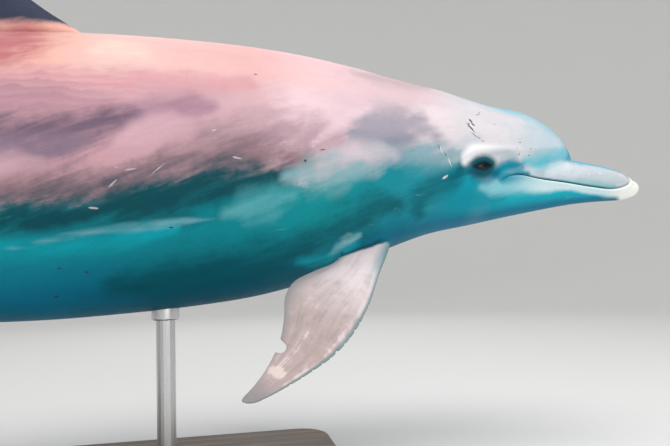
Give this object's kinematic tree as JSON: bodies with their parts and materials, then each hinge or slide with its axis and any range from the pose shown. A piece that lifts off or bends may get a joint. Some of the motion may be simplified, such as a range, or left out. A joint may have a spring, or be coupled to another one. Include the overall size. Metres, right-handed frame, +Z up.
{
  "type": "bottlenose dolphin display model",
  "caption": "Life-size swimming bottlenose dolphin, gently bent, held over a flat display base by short rods.",
  "frame": {"origin": "centre of the underside of the stand's flat base", "axes": "+Z up, +X towards the snout along the base, +Y to the animal's left; the body bends a little to its right"},
  "size_m": [2.5114, 0.9569, 0.9679],
  "materials": {
    "skin": "satin painted skin, rosy mauve back, pale head and blue-green grey underside",
    "fin_skin": "satin painted skin, dark slate",
    "eye": "wet gloss",
    "stand_wood": "oiled walnut, satin",
    "stand_steel": "brushed"
  },
  "bodies": {
    "root": {"head": "skin", "upper_jaw": "skin", "lower_jaw": "skin", "chest": "skin", "trunk": "skin", "tail_stock": "skin", "flipper_right": "skin", "flipper_left": "skin", "dorsal_fin": "fin_skin", "fluke_right": "fin_skin", "fluke_left": "fin_skin", "eye_right": "eye", "eye_left": "eye", "stand_base": "stand_wood", "stand_rod_front": "stand_steel", "stand_rod_rear": "stand_steel"}
  },
  "joints": []
}
